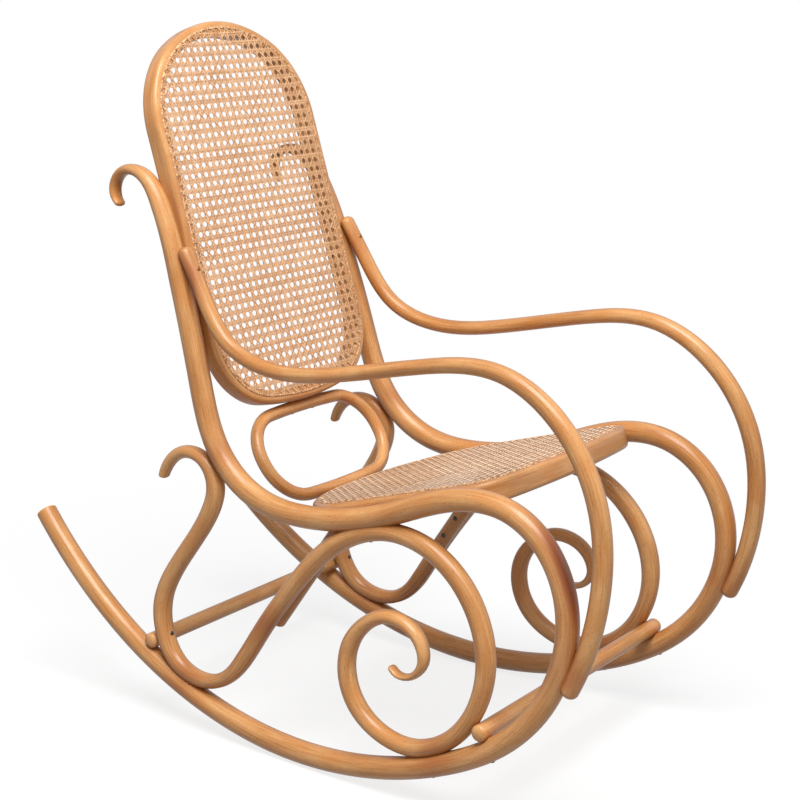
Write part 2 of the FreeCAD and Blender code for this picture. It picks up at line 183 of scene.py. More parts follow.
# How pale each kind of piece is, and how much darker its left one is and paler its right one
TONES = {
    "main_rod": 0.45, "armrest": 0.5, "scroll": 0.46, "seat_brace": 0.3, "stretcher": 0.7,
    "oval_ring": 0.5, "back_frame": 0.6, "seat_frame": 0.55, "strip": 0.5,
}
HAND_TONE = 0.04

# How far the grain's start moves for each letter of a piece's name, and for its tone
GRAIN_BY_LETTER = 0.37
GRAIN_BY_TONE = 3.0

# Patterns of the fibres: shares of the scale along and across the grain, detail, and for a mask
# the range of the pattern over which it rises from none to full
FIBRES = {
    "Fine": (1.0, 1.0, 3.0),
    "Broad": (0.45, 0.12, 3.0),
    "Patch": (1.1, 0.06, 2.0, 0.46, 0.62),
    "Fleck": (14.0, 2.4, 1.0, 0.62, 0.74),
}

# Wood: scale of its fibres, how patterns and tone add up to a depth of colour, the depths of the light
# and the deep grain, how far patches and flecks show, and how patchy the joint stains and their painted
# shade are
WOOD_FIBRES = (15.0, 420.0)
BROAD_DEPTH = 0.9
FINE_DEPTH = 0.6
TONE_DEPTH = -0.6
DEPTH_RANGE = (0.30, 0.68)
PATCH_SHARE = 0.45
FLECK_SHARE = 0.5
STAIN_AND_SHADE_PATCHES = (1.3, -0.15)

# Worn side, which on the armrest is partly painted shadow: where its stain and its dark varnish start and
# are full, as shares of the thickness
STAINED_AND_SHADED_FROM_TO = (0.04, 0.34)
WORN_AND_SHADED_FROM_TO = (0.20, 0.44)

# How sharply and how far the wood is painted darker where it turns away from the view: painted shade and
# dark reflection, partly the varnish's deeper colour at a glancing view
EDGE_SHADE_POWER = 2.2
EDGE_SHADE_SHARE = 0.85

# Cane: scale of its fibres, its deep grain and the painted shade of its strands' rims as shares of the
# pale colour, how a strand's own shade and its fibres add up, and where over its width the rim is painted
# darker, as shade where strands overlap, and how far
CANE_FIBRES = (30.0, 9.0)
CANE_DEEP = (0.56, 0.41, 0.28)
CANE_RIM_SHADE = (0.46, 0.26, 0.14)
TINT_DEPTH = 0.5
CANE_DEPTH = 0.7
CANE_RANGE = (0.25, 0.95)
RIM_SHADE_RANGE = (0.18, 0.44, 0.0, 0.6)

# Reed strips
REED_FIBRES = (330.0, 330.0)
REED_RANGE = (0.40, 0.60)
REED_PALE = (0.80, 0.50, 0.27)
REED_DARK = (0.33, 0.13, 0.04)

# Screws: scale of the spots on them, and the two colours of bare and of lacquered heads
STEEL_SPOTS = 900.0
BARE_HEAD = ((0.10, 0.09, 0.08), (0.03, 0.028, 0.025))
BROWN_HEAD = ((0.34, 0.15, 0.055), (0.16, 0.06, 0.02))

# Roughness: how much a pattern adds, and to what
WOOD_ROUGH = (0.16, 0.30)
CANE_ROUGH = (0.2, 0.32)
REED_ROUGH = (0.2, 0.42)
STEEL_ROUGH = (0.3, 0.3)

# Relief: strength and height
WOOD_RELIEF = (0.2, 0.0004)
REED_RELIEF = (0.5, 0.0006)

# Stage: the lamps, and the floor's rings of faces, faint mottling and fade to white
KEY_AT = (-1.3, -1.0, 4.0)
FILL_AT = (1.8, -2.6, 1.8)
LAMP_AIM = (0, 0, 0.5)
LAMP_SIZE = 2.4
FLOOR_RINGS = 24
FLOOR_SIDES = 64
FLOOR_GRAIN = 60.0
FLOOR_DIM = 0.985
FLOOR_FADE = (0.7, 1.6)

# The camera stands where the photograph was taken from, in the drawing's metres
CAMERA_AT = (-2.1427, -1.5647, 1.1579)
CAMERA_AIM = (0.7864, 0.5694, -0.2394)
CAMERA_LENS = 80.73
CAMERA_SENSOR = 36.0
CAMERA_CLIP = 60.0


def settled_shift():
    """How far the frame stands from the drawing, read from the middle of the rear stretcher."""
    low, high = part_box("rear_stretcher")
    middle = (low + high) / 2
    y, z, _ = STRETCHERS["rear_stretcher"]
    return Vector((0, middle.y - y, middle.z - z))


SHIFT = settled_shift()


def colour_field(name, description, default):
    """A colour in the sidebar."""
    return FloatVectorProperty(
        name=name, description=description, default=default, min=0, max=1, subtype="COLOR"
    )


def share_field(name, description, default):
    """A share from none to all in the sidebar."""
    return FloatProperty(
        name=name, description=description, default=default, min=0, max=1, subtype="FACTOR"
    )


def length_field(name, description, default, least):
    """A length in the sidebar."""
    return FloatProperty(
        name=name, description=description, default=default, min=least, unit="LENGTH"
    )


class WoodSettings(bpy.types.PropertyGroup):
    light: colour_field("Light grain", "Colour of the pale grain", (0.70, 0.365, 0.140))
    deep: colour_field("Deep grain", "Colour of the deeper grain", (0.43, 0.165, 0.040))
    amber: colour_field(
        "Amber patches", "Colour of the broad orange patches in the varnish", (0.56, 0.205, 0.045)
    )
    fleck: colour_field("Flecks", "Colour of the short dark flecks in the grain", (0.18, 0.050, 0.012))
    # Darkened varnish at the joints, also painted shade where the parts meet
    stain: colour_field("Stain", "Colour of the darkened varnish at the joints", (0.34, 0.095, 0.024))
    # Painted shade and dark reflection where the wood turns away from the view, partly the varnish's
    # deeper colour
    edge: colour_field(
        "Edge", "Colour of the thick looking varnish where the wood turns away", (0.17, 0.044, 0.009)
    )
    sawn: colour_field("Sawn end", "Colour of the bare end of a rod", (0.72, 0.42, 0.20))
    # Dark side of a rod: rubbed dark on the front loop, painted shadow of the post on the armrest
    worn: colour_field(
        "Worn side", "Colour of the dark varnish on the worn side of a rod", (0.130, 0.032, 0.010)
    )
    varnish: share_field("Varnish", "How thick the clear varnish looks", 0.18)


class CaneSettings(bpy.types.PropertyGroup):
    pitch: length_field("Mesh", "Distance from one pair of strands to the next", 0.0147, 0.008)
    strand: length_field("Strand width", "Width of one strand of the back's cane", 0.0028, 0.001)
    seat_strand: length_field(
        "Seat strand width", "Width of one strand of the seat's closer cane", 0.0033, 0.001
    )
    thick: length_field("Strand thickness", "Thickness of one strand of cane", 0.0005, 0.0002)
    pair_gap: length_field("Pair gap", "Open space between the two strands of a pair", 0.0008, 0.0)
    colour: colour_field("Cane", "Colour of the back's cane strands", (0.84, 0.53, 0.29))
    # The seat's cane colour is painted lighter than the back's, as painted light on its upward face
    painted_light_seat_colour: colour_field("Seat cane", "Colour of the seat's cane strands", (0.98, 0.76, 0.54))


class StageSettings(bpy.types.PropertyGroup):
    floor: colour_field("Floor", "Colour of the floor", (0.95, 0.95, 0.95))
    bounce: share_field("Floor bounce", "Share of light that the floor sends back to the chair", 0.38)
    white: share_field("White share", "How far the camera sees the floor as plain white", 0.8)
    key_power: FloatProperty(
        name="Key light", description="Power of the large soft lamp", default=208.0, min=0, unit="POWER"
    )
    fill_power: FloatProperty(
        name="Fill light", description="Power of the fill lamp", default=10.0, min=0, unit="POWER"
    )
    sky: FloatProperty(
        name="Sky", description="Strength of the even light from all round", default=0.30, min=0
    )
    floor_reach: length_field("Floor reach", "Radius of the floor", 6.0, 2.0)


def add(tree, kind, inputs=None, **settings):
    """One node. Each input takes a value, or the output socket of an earlier node."""
    node = tree.nodes.new(kind)
    for key, value in settings.items():
        setattr(node, key, value)
    for place, value in (inputs or {}).items():
        socket = node.inputs[place]
        if isinstance(value, bpy.types.NodeSocket):
            tree.links.new(value, socket)
        else:
            socket.default_value = value
    return node


def first(tree, kind, inputs=None, **settings):
    """The first output of a new node."""
    return add(tree, kind, inputs, **settings).outputs[0]


def maths(tree, operation, *values):
    return first(tree, "ShaderNodeMath", dict(enumerate(values)), operation=operation)


def sum_of(tree, a, b):
    return maths(tree, "ADD", a, b)


def product(tree, a, b):
    return maths(tree, "MULTIPLY", a, b)


def scaled(tree, value, factor, base):
    """A value times a factor, plus a base."""
    return sum_of(tree, product(tree, value, factor), base)


def weighted(tree, *parts):
    """The sum of some values, each times its own factor."""
    total, *rest = (product(tree, value, factor) for value, factor in parts)
    for part in rest:
        total = sum_of(tree, total, part)
    return total


def vector_math(tree, operation, a, b):
    node = add(tree, "ShaderNodeVectorMath", {0: a, 1: b}, operation=operation)
    return node.outputs["Value"] if operation == "DOT_PRODUCT" else node.outputs["Vector"]


def combined(tree, x, y, z):
    return first(tree, "ShaderNodeCombineXYZ", {0: x, 1: y, 2: z})


def new_group(name, kind, inputs, outputs):
    """A node group with named sockets, and its input and output nodes."""
    tree = bpy.data.node_groups.new(name, kind)
    for label, sort, value in inputs:
        socket = tree.interface.new_socket(name=label, in_out="INPUT", socket_type="NodeSocket" + sort)
        if value is not None:
            socket.default_value = value
    for label, sort in outputs:
        tree.interface.new_socket(name=label, in_out="OUTPUT", socket_type="NodeSocket" + sort)
    return tree, tree.nodes.new("NodeGroupInput"), tree.nodes.new("NodeGroupOutput")


def named(tree, name, data_type="FLOAT"):
    node = add(tree, "GeometryNodeInputNamedAttribute", {"Name": name}, data_type=data_type)
    return node.outputs["Attribute"]


def stored(tree, geometry, name, value, data_type="FLOAT_VECTOR"):
    inputs = {"Geometry": geometry, "Name": name, "Value": value}
    node = "GeometryNodeStoreNamedAttribute"
    return first(tree, node, inputs, data_type=data_type, domain="POINT")


def finished(tree, geometry, material, smooth, output):
    """Shade, realize and give the material, then send to the tree's output."""
    for kind, inputs in (
        ("GeometryNodeSetShadeSmooth", {"Shade Smooth": smooth}),
        ("GeometryNodeRealizeInstances", {}),
        ("GeometryNodeSetMaterial", {"Material": material}),
    ):
        geometry = first(tree, kind, {"Geometry": geometry, **inputs})
    tree.links.new(geometry, output.inputs[0])


def bent_rod_tree():
    """Sweeps an oval section along a path whose points carry a thickness, a width and a distance."""
    tree, source, result = new_group(
        "bent rod", "GeometryNodeTree",
        [
            ("Geometry", "Geometry", None),
            ("Sides", "Int", ROD_SIDES),
            ("Across", "Vector", (1, 0, 0)),
            ("Grain Start", "Float", 0.0),
            ("Tone", "Float", 0.5),
            ("Material", "Material", None),
        ],
        [("Geometry", "Geometry")],
    )
    given = source.outputs
    across = given["Across"]
    curve = first(tree, "GeometryNodeMeshToCurve", {0: given["Geometry"]})
    curve = first(tree, "GeometryNodeSetCurveNormal", {"Curve": curve, "Normal": across}, mode="FREE")
    curve = stored(tree, curve, "centre", first(tree, "GeometryNodeInputPosition"))
    curve = stored(tree, curve, "run", first(tree, "GeometryNodeInputTangent"))
    round_line = {"Resolution": given["Sides"], "Radius": 1.0}
    sweep = {
        "Curve": curve,
        "Profile Curve": first(tree, "GeometryNodeCurvePrimitiveCircle", round_line),
        "Scale": product(tree, named(tree, "thickness"), 0.5),
        "Fill Caps": True,
    }
    mesh = first(tree, "GeometryNodeCurveToMesh", sweep)
    place = first(tree, "GeometryNodeInputPosition")
    out = vector_math(tree, "SUBTRACT", place, named(tree, "centre", "FLOAT_VECTOR"))
    sideways = vector_math(tree, "DOT_PRODUCT", out, across)
    ratio = maths(tree, "DIVIDE", named(tree, "width"), named(tree, "thickness"))
    stretch = product(tree, sideways, sum_of(tree, ratio, -1.0))
    widening = first(tree, "ShaderNodeVectorMath", {0: across, "Scale": stretch}, operation="SCALE")
    mesh = first(tree, "GeometryNodeSetPosition", {"Geometry": mesh, "Offset": widening})
    binormal = vector_math(tree, "CROSS_PRODUCT", named(tree, "run", "FLOAT_VECTOR"), across)
    upward = vector_math(tree, "DOT_PRODUCT", out, binormal)
    start = sum_of(tree, named(tree, "along"), given["Grain Start"])
    grain = combined(tree, start, product(tree, sideways, ratio), upward)
    mesh = stored(tree, mesh, "grain_place", grain)
    mesh = stored(tree, mesh, "tone", given["Tone"], "FLOAT")
    finished(tree, mesh, given["Material"], True, result)
    return tree


def cane_weave_tree():
    """Makes each strand's straight line a thin ribbon that passes over and under the others."""
    tree, source, result = new_group(
        "cane weave", "GeometryNodeTree",
        [
            ("Geometry", "Geometry", None),
            ("Pitch", "Float", 0.015),
            ("Strand Width", "Float", 0.0024),
            ("Strand Thickness", "Float", 0.0005),
            ("Middle", "Float", CANE_MIDDLE),
            ("Turn", "Vector", (0, 0, 0)),
            ("Zero", "Vector", (0, 0, 0)),
            ("Material", "Material", None),
        ],
        [("Geometry", "Geometry")],
    )
    given = source.outputs
    pitch = given["Pitch"]
    width = given["Strand Width"]
    curve = first(tree, "GeometryNodeMeshToCurve", {0: given["Geometry"]})
    step = product(tree, pitch, STRAND_STEP)
    curve = first(tree, "GeometryNodeResampleCurve", {"Curve": curve, "Length": step}, mode="LENGTH")
    along = add(tree, "GeometryNodeSplineParameter").outputs["Length"]
    curve = stored(tree, curve, "along", along, "FLOAT")
    place = add(tree, "ShaderNodeSeparateXYZ", {0: first(tree, "GeometryNodeInputPosition")}).outputs
    turn = maths(tree, "DIVIDE", 2 * math.pi, pitch)
    wave_across = maths(tree, "COSINE", product(tree, place[0], turn))
    wave_along = maths(tree, "COSINE", product(tree, place[1], turn))
    lift = product(tree, named(tree, "rise_across"), wave_across)
    half_wave = product(tree, sum_of(tree, wave_along, 1.0), 0.5)
    lift = sum_of(tree, lift, product(tree, named(tree, "rise_along"), half_wave))
    lift = sum_of(tree, lift, given["Middle"])
    lifted = {"Geometry": curve, "Offset": combined(tree, 0.0, 0.0, lift)}
    curve = first(tree, "GeometryNodeSetPosition", lifted)
    curve = first(tree, "GeometryNodeSetCurveNormal", {"Curve": curve}, mode="Z_UP")
    ribbon = {
        "Bottom Width": width,
        "Top Width": product(tree, width, STRAND_TOP),
        "Height": given["Strand Thickness"],
        "Offset": 0.0,
    }
    profile = first(tree, "GeometryNodeCurvePrimitiveQuadrilateral", ribbon, mode="TRAPEZOID")
    corner = first(tree, "ShaderNodeSeparateXYZ", {0: first(tree, "GeometryNodeInputPosition")})
    profile = stored(tree, profile, "rim", maths(tree, "DIVIDE", corner, width), "FLOAT")
    sweep = {"Curve": curve, "Profile Curve": profile, "Fill Caps": True}
    mesh = first(tree, "GeometryNodeCurveToMesh", sweep)
    strand_place = combined(tree, named(tree, "along"), named(tree, "tint"), 0.0)
    mesh = stored(tree, mesh, "strand_place", strand_place)
    move = {"Geometry": mesh, "Translation": given["Zero"], "Rotation": given["Turn"]}
    finished(tree, first(tree, "GeometryNodeTransform", move), given["Material"], False, result)
    return tree


def tree_called(name, maker):
    """A node tree that is made once and then used again."""
    return bpy.data.node_groups.get(name) or maker()


def applied(mesh, tree, values, name):
    """The mesh that a node tree makes of a mesh, with its inputs set by name."""
    source = bpy.data.objects.new(name + "_source", mesh)
    bpy.context.scene.collection.objects.link(source)
    modifier = source.modifiers.new("shape", "NODES")
    modifier.node_group = tree
    sockets = {item.name: item.identifier for item in tree.interface.items_tree if item.in_out == "INPUT"}
    for label, value in values.items():
        modifier[sockets[label]] = value
    bpy.context.view_layer.update()
    evaluated = source.evaluated_get(bpy.context.evaluated_depsgraph_get())
    made = bpy.data.meshes.new_from_object(evaluated)
    source.modifiers.clear()
    bpy.data.objects.remove(source)
    made.name = name
    return made


def piece(name, mesh, slot, *nodes):
    """A finished piece that rides on the chair and stands for its CAD nodes."""
    if not mesh.polygons:
        raise RuntimeError(name + " came out with no faces")
    thing = bpy.data.objects.new(name, mesh)
    bpy.context.scene.collection.objects.link(thing)
    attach(thing, "root")
    if nodes:
        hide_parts(*nodes)


def side_point(y, z, inset=0.0):
    """A point in the left side frame's leaning plane, or inset from it towards the middle."""
    return Vector((HALF_WIDTH - SPLAY * y - LEAN * z - inset, y, z)) + SHIFT


def curve_through(places, at, wanted):
    """A smooth curve (cubic, with even bending) through places that stand at distances along it."""
    count = len(at)
    step = np.diff(at)
    slope = np.diff(places, axis=0) / step[:, None]
    matrix = np.zeros((count, count))
    right = np.zeros((count, 3))
    for k in range(1, count - 1):
        matrix[k, k - 1] = step[k - 1]
        matrix[k, k] = 2 * (step[k - 1] + step[k])
        matrix[k, k + 1] = step[k]
        right[k] = 6 * (slope[k] - slope[k - 1])
    matrix[0, :2] = (1, -1)
    matrix[-1, -2:] = (-1, 1)
    bend = np.linalg.solve(matrix, right)
    k = np.clip(np.searchsorted(at, wanted) - 1, 0, count - 2)
    gap = step[k][:, None]
    late = (wanted - at[k])[:, None] / gap
    early = 1 - late
    straight = early * places[k] + late * places[k + 1]
    curved = (early ** 3 - early) * bend[k] + (late ** 3 - late) * bend[k + 1]
    return straight + curved * gap ** 2 / 6


def distances_along(places):
    """How far along a row of points each of them stands."""
    steps = np.linalg.norm(np.diff(places, axis=0), axis=1)
    return np.concatenate([[0.0], np.cumsum(steps)])


def carried(mesh, **columns):
    """Gives each point of a mesh a value or a vector under each name."""
    for label, column in columns.items():
        column = np.asarray(column, np.float32)
        kind, field = ("FLOAT", "value") if column.ndim == 1 else ("FLOAT_VECTOR", "vector")
        mesh.attributes.new(label, kind, "POINT").data.foreach_set(field, column.ravel())


def path_mesh(name, places, closed=False, **columns):
    """A line of points joined by edges, with a value for each point under each name."""
    count = len(places)
    edges = [(k, k + 1) for k in range(count - 1)]
    if closed:
        edges.append((count - 1, 0))
    mesh = bpy.data.meshes.new(name)
    mesh.from_pydata([tuple(place) for place in places], edges, [])
    carried(mesh, **columns)
    return mesh


def rod_stations(length, start_end, far_end):
    """Distances along a rod, the distance whose thickness each takes, and how far each shrinks."""
    start = start_end[0]
    finish = length - far_end[0]
    body = np.linspace(start, finish, max(2, int((finish - start) / ROD_STEP)))
    turns = np.linspace(0, END_TURN, END_STEPS)[1:]
    reach = np.sin(turns)
    loss = 1 - np.cos(turns)
    at = np.concatenate([(start - start_end[0] * reach)[::-1], body, finish + far_end[0] * reach])
    full = np.ones(len(body))
    shrink = np.concatenate([(1 - start_end[1] * loss)[::-1], full, 1 - far_end[1] * loss])
    return at, np.clip(at, start, finish), shrink


def rod_path(name, points, full, start_end, far_end, hand, wear_and_shade):
    """The path of one bent rod, on the sitter's left (hand 1) or right (hand -1)."""
    places = np.array([side_point(y, z) for y, z, _ in points])
    places[:, 0] *= hand
    distances = distances_along(places)
    at, body_at, shrink = rod_stations(distances[-1], start_end, far_end)
    thickness = np.interp(body_at, distances, [point[2] for point in points]) * shrink
    width = thickness + WIDTH_SHARE * (full * shrink - thickness)
    path = curve_through(places, distances, at)
    # The joints carry darkened varnish with painted shade; the armrest's dark side is partly painted
    # shadow
    return path_mesh(
        name, path, thickness=thickness, width=width, along=at,
        stain=darkening(path, STAINS_AND_SHADE), worn=worn_sides(path, wear_and_shade if hand < 0 else None),
        bare=np.where((far_end == SAWN_END) & (at > distances[-1] - SAWN_END[0] / 2), 1.0, 0.0),
    )


def darkening(path, spots):
    """How far each point of a path takes part in the dark spots, given as (y, z, reach)."""
    share = np.zeros(len(path))
    for y, z, reach in spots:
        away = np.hypot(path[:, 1] - SHIFT.y - y, path[:, 2] - SHIFT.z - z)
        share = np.maximum(share, np.exp(-((away / reach) ** 2)))
    return share


def worn_sides(path, wear_and_shade):
    """Which way the dark side faces at each point, in the grain's axes: rubbed dark on the front loop,
    painted shadow of the post on the armrest. Its length is how dark it is painted.
    """
    sides = np.zeros((len(path), 3))
    if wear_and_shade is not None:
        spot, looks = wear_and_shade
        sides[:, 1:] = np.outer(darkening(path, [spot]), looks)
    return sides


def bar_path(name, start, finish, diameter):
    """The path of a straight round bar with domed ends."""
    length = (finish - start).length
    at, _, shrink = rod_stations(length, DOMED_END, DOMED_END)
    places = [start.lerp(finish, distance / length) for distance in at]
    return path_mesh(name, places, thickness=diameter * shrink, width=diameter * shrink, along=at)


def bent_piece(name, path, across, tone, node):
    """Sweeps a path into a piece of wood."""
    tree = tree_called("bent rod", bent_rod_tree)
    values = {
        "Sides": ROD_SIDES,
        "Across": across,
        "Grain Start": len(name) * GRAIN_BY_LETTER + tone * GRAIN_BY_TONE,
        "Tone": tone,
        "Material": beech(),
    }
    piece(name, applied(path, tree, values, name), "bent_wood", node)


def side_normal(hand):
    """Outwards, square to the leaning plane of one side frame."""
    return (SIDE_NORMAL.x * hand, SIDE_NORMAL.y, SIDE_NORMAL.z)


def both_hands(label, points, full, start_end, far_end, wear_and_shade=None):
    """The same bent rod on both sides of the chair."""
    for side, hand in HANDS.items():
        name = "bent_" + label + "_" + side
        path = rod_path(name, points, full, start_end, far_end, hand, wear_and_shade)
        tone = TONES[label] - HAND_TONE * hand
        bent_piece(name, path, side_normal(hand), tone, label + "_" + side)


def arc_points(centre, radius, start, end):
    """Points along an arc with their outward directions; angles in degrees from +X."""
    count = max(3, int(abs(math.radians(end - start)) * radius / OUTLINE_STEP))
    rows = []
    for k in range(count):
        turn = math.radians(start + (end - start) * k / count)
        out = (math.cos(turn), math.sin(turn))
        rows.append((centre[0] + radius * out[0], centre[1] + radius * out[1], out[0], out[1]))
    return rows


def line_points(start, end, out):
    """Points along a straight side, all with the same outward direction."""
    length = math.dist(start, end)
    count = max(2, int(length / OUTLINE_STEP))
    rows = []
    for k in range(count):
        share = k / count
        rows.append((*(a + share * (b - a) for a, b in zip(start, end)), *out))
    return rows


def outline(hoop):
    """A hoop's closed outline as rows of x, slope, and the outward direction at each."""
    crown_at = hoop["top"] - hoop["crown"]
    base_at = hoop["bottom"] + hoop["base"]
    shoulder_x = hoop["half"] - hoop["shoulder"]
    shoulder_at = crown_at + math.sqrt((hoop["crown"] - hoop["shoulder"]) ** 2 - shoulder_x ** 2)
    corner_x = hoop["half"] - hoop["corner"]
    corner_at = base_at - math.sqrt((hoop["base"] - hoop["corner"]) ** 2 - corner_x ** 2)
    crown_angle = math.degrees(math.atan2(shoulder_at - crown_at, shoulder_x))
    base_angle = math.degrees(math.atan2(corner_at - base_at, corner_x))
    half = hoop["half"]
    rows = arc_points((0, crown_at), hoop["crown"], crown_angle, 180 - crown_angle)
    rows += arc_points((-shoulder_x, shoulder_at), hoop["shoulder"], 180 - crown_angle, 180)
    rows += line_points((-half, shoulder_at), (-half, corner_at), (-1, 0))
    rows += arc_points((-corner_x, corner_at), hoop["corner"], 180, 180 - base_angle)
    rows += arc_points((0, base_at), hoop["base"], 180 - base_angle, 360 + base_angle)
    rows += arc_points((corner_x, corner_at), hoop["corner"], 360 + base_angle, 360)
    rows += line_points((half, corner_at), (half, shoulder_at), (1, 0))
    rows += arc_points((shoulder_x, shoulder_at), hoop["shoulder"], 0, crown_angle)
    return np.array(rows)


def hoop_place(hoop, x, slope, height):
    """A point of a hoop's own flat drawing, at its place on the chair."""
    turn = math.radians(hoop["turn"])
    y = hoop["zero"][0] + slope * math.cos(turn) - height * math.sin(turn)
    z = hoop["zero"][1] + slope * math.sin(turn) + height * math.cos(turn)
    return Vector((x, y, z)) + SHIFT


def rounded_section(inner, outer_round, inner_round, low, high):
    """A closed section of inset and height pairs, with its four corners rounded."""
    corners = (
        (outer_round, high - outer_round, outer_round, 180, 90),
        (inner - inner_round, high - inner_round, inner_round, 90, 0),
        (inner - inner_round, low + inner_round, inner_round, 0, -90),
        (outer_round, low + outer_round, outer_round, 270, 180),
    )
    section = []
    for across, up, radius, start, end in corners:
        for step in range(ROUND_STEPS + 1):
            turn = math.radians(start + step / ROUND_STEPS * (end - start))
            section.append((across + radius * math.cos(turn), up + radius * math.sin(turn)))
    return section


def band_mesh(name, hoop, section, tone, material):
    """Sweeps a section of inset and height pairs round a hoop's outline."""
    rows = outline(hoop)
    vertices = []
    grain = []
    for (x, slope, out_x, out_slope), distance in zip(rows, distances_along(rows[:, :2])):
        for inset, height in section:
            vertices.append(hoop_place(hoop, x - out_x * inset, slope - out_slope * inset, height))
            grain.append((distance + tone * GRAIN_BY_TONE, inset, height))
    wide = len(section)
    faces = []
    for k in range(len(rows)):
        here = k * wide
        ahead = ((k + 1) % len(rows)) * wide
        for j in range(wide):
            beside = (j + 1) % wide
            faces.append((here + j, ahead + j, ahead + beside, here + beside))
    mesh = bpy.data.meshes.new(name)
    mesh.from_pydata(vertices, [], faces)
    # Darkened varnish with painted shade where the posts meet the hoop
    stain = darkening(np.array(vertices), HOOP_STAINS_AND_SHADE)
    carried(mesh, grain_place=grain, tone=np.full(len(vertices), tone), stain=stain)
    mesh.materials.append(material)
    mesh.shade_smooth()
    return mesh


def chord(ring, start, direction):
    """The two points where a straight line crosses a closed outline, or nothing."""
    normal = np.array((-direction[1], direction[0]))
    side = (ring - start) @ normal
    ends = []
    for k, here in enumerate(side):
        ahead = (k + 1) % len(side)
        there = side[ahead]
        if (here < 0) != (there < 0):
            ends.append(ring[k] + (ring[ahead] - ring[k]) * here / (here - there))
    return ends if len(ends) == 2 else None


def strand_lines(hoop, pitch, pair):
    """Every strand of a six way cane weave: its line, and how it rises over the others."""
    rows = outline(hoop)
    ring = rows[:, :2] - rows[:, 2:] * CANE_REACH
    reach = int((hoop["top"] - hoop["bottom"] + hoop["half"]) / pitch) + 2
    lines = []
    for k in range(-reach, reach):
        for half_pair, rise in ((-pair / 2, -1), (pair / 2, 1)):
            lines.append(((k * pitch + half_pair, 0), (0, 1), 0, rise))
            lines.append(((0, k * pitch + half_pair), (1, 0), 0, 0))
        lines.append((((k + 0.5) * pitch, 0), (1, 1), -1, 0))
        lines.append((((k + 0.5) * pitch, 0), (1, -1), 1, 0))
    found = []
    for start, direction, rise_across, rise_along in lines:
        ends = chord(ring, np.array(start), direction)
        if ends:
            found.append((ends, rise_across, rise_along))
    return found


def cane_panel(name, hoop, strand, material, node):
    """The woven panel of a hoop, held under the strip in its groove."""
    settings = bpy.context.scene.rocker_cane
    rise = CANE_MIDDLE - settings.thick / 2
    chance = np.random.default_rng(TINT_SEED)
    places, edges, across, along, tint = [], [], [], [], []
    lines = strand_lines(hoop, settings.pitch, strand + settings.pair_gap)
    for ends, rise_across, rise_along in lines:
        edges.append((len(places), len(places) + 1))
        places += [(*end, 0.0) for end in ends]
        across += [rise_across * rise] * 2
        along += [rise_along * rise * UPRIGHT_RISE] * 2
        tint += [chance.random()] * 2
    mesh = bpy.data.meshes.new(name)
    mesh.from_pydata(places, edges, [])
    carried(mesh, rise_across=across, rise_along=along, tint=tint)
    values = {
        "Pitch": settings.pitch,
        "Strand Width": strand,
        "Strand Thickness": settings.thick,
        "Middle": CANE_MIDDLE,
        "Turn": (math.radians(hoop["turn"]), 0, 0),
        "Zero": tuple(hoop_place(hoop, 0, 0, 0)),
        "Material": material,
    }
    tree = tree_called("cane weave", cane_weave_tree)
    piece(name, applied(mesh, tree, values, name), "cane", node)


def span(tree, value, start, finish, low=0.0, high=1.0, **settings):
    """Takes a value's range from start to finish to the range from low to high."""
    inputs = {"Value": value, "From Min": start, "From Max": finish, "To Min": low, "To Max": high}
    return first(tree, "ShaderNodeMapRange", inputs, **settings)


def noise(tree, place, scale, detail=2.0):
    inputs = {"Vector": place, "Scale": scale, "Detail": detail}
    return add(tree, "ShaderNodeTexNoise", inputs).outputs["Fac"]


def long_fibres():
    """Noise drawn out along the grain: a fine fibre, a broad slow change, patches and short flecks."""
    tree, source, result = new_group(
        "long fibres", "ShaderNodeTree",
        [("Place", "Vector", None), ("Along", "Float", 8.0), ("Across", "Float", 300.0)],
        [(label, "Float") for label in FIBRES],
    )
    place, along, across = source.outputs[:3]
    for label, (along_share, across_share, detail, *mask) in FIBRES.items():
        wide = product(tree, across, across_share)
        scale = combined(tree, product(tree, along, along_share), wide, wide)
        pattern = noise(tree, vector_math(tree, "MULTIPLY", place, scale), 1.0, detail)
        if mask:
            pattern = span(tree, pattern, *mask)
        tree.links.new(pattern, result.inputs[label])
    return tree


def new_material(name):
    """An empty material, its tree and its output node."""
    material = bpy.data.materials.new(name)
    material.use_nodes = True
    material.node_tree.nodes.clear()
    output = material.node_tree.nodes.new("ShaderNodeOutputMaterial")
    return material, material.node_tree, output


def opaque(colour):
    """A plain colour with its alpha, or an earlier node's colour as it is."""
    return colour if isinstance(colour, bpy.types.NodeSocket) else (*colour, 1.0)


def mixed(tree, share, a, b):
    """A colour between two others."""
    node = add(tree, "ShaderNodeMix", {0: share, 6: opaque(a), 7: opaque(b)}, data_type="RGBA")
    return node.outputs[2]


def carried_by(tree, name, kind="Fac"):
    """What the piece's mesh carries at each point: a value, or with "Vector" a place."""
    return add(tree, "ShaderNodeAttribute", attribute_name=name).outputs[kind]


def fibres_at(tree, name, along, across):
    """The fibre pattern at the place that the piece's mesh carries under a name."""
    node = add(tree, "ShaderNodeGroup", node_tree=tree_called("long fibres", long_fibres))
    tree.links.new(carried_by(tree, name, "Vector"), node.inputs["Place"])
    node.inputs["Along"].default_value = along
    node.inputs["Across"].default_value = across
    return node.outputs


def relief(tree, height, strength, distance):
    inputs = {"Height": height, "Strength": strength, "Distance": distance}
    return first(tree, "ShaderNodeBump", inputs)


def shaded(tree, output, inputs):
    """Ends a material in its shader."""
    shader = first(tree, "ShaderNodeBsdfPrincipled", inputs)
    tree.links.new(shader, output.inputs["Surface"])


